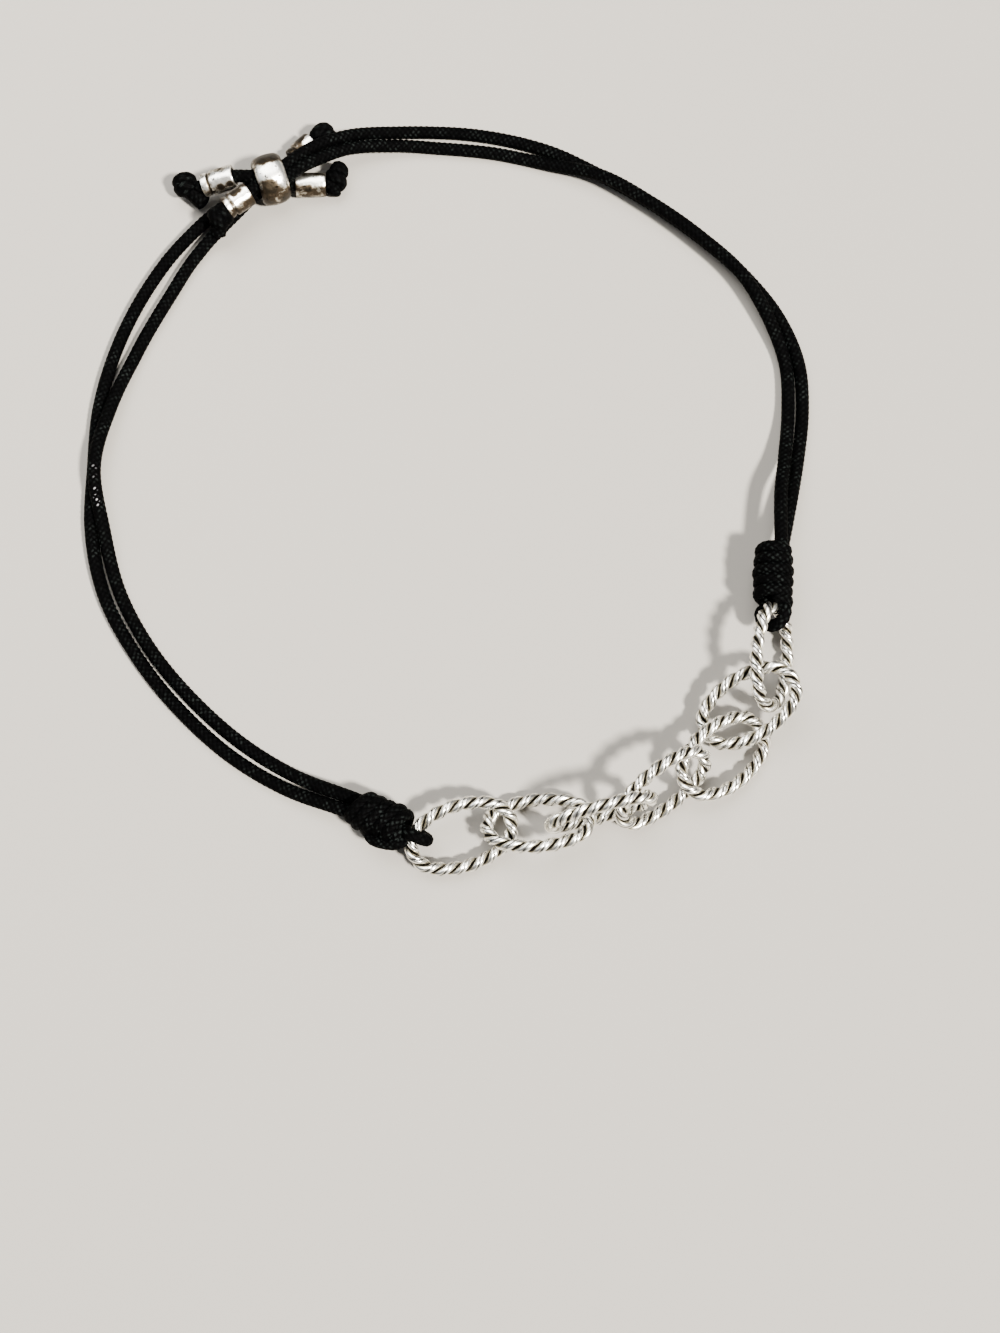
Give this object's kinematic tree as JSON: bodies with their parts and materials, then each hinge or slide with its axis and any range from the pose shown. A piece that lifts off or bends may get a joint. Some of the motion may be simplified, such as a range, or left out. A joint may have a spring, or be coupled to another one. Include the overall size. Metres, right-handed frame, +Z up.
{
  "type": "cord bracelet",
  "caption": "Adjustable bracelet of doubled black braided cord with interlocked twisted silver links, a sliding barrel bead, and a small bead and a knot at each cord end.",
  "frame": {"origin": "middle of the footprint, on the surface that the bracelet lies on", "axes": "+Z up from the surface, +Y from the chain of links towards the sliding bead, +X from the left wrapped knot towards the right one"},
  "size_m": [0.0686, 0.0757, 0.0071],
  "materials": {
    "cord": "tight black braid with a soft waxed sheen",
    "silver": "bright worn silver with dark oxidised crevices",
    "aged_silver": "antique silver with a pitted brown-grey patina"
  },
  "bodies": {
    "root": {"link_1": "silver", "link_2": "silver", "link_3": "silver", "link_4": "silver", "link_5": "silver", "link_6": "silver", "link_7": "silver", "wrapped_knot_left": "cord", "wrapped_knot_right": "cord", "loop_left": "cord", "loop_right": "cord", "strand_left_outer": "cord", "strand_left_inner": "cord", "strand_right_outer": "cord", "strand_right_inner": "cord", "slider_bead": "aged_silver", "end_bead_1": "aged_silver", "end_bead_2": "aged_silver", "end_bead_3": "aged_silver", "end_bead_4": "aged_silver", "end_knot_1": "cord", "end_knot_2": "cord", "end_knot_3": "cord", "end_knot_4": "cord"}
  },
  "joints": []
}
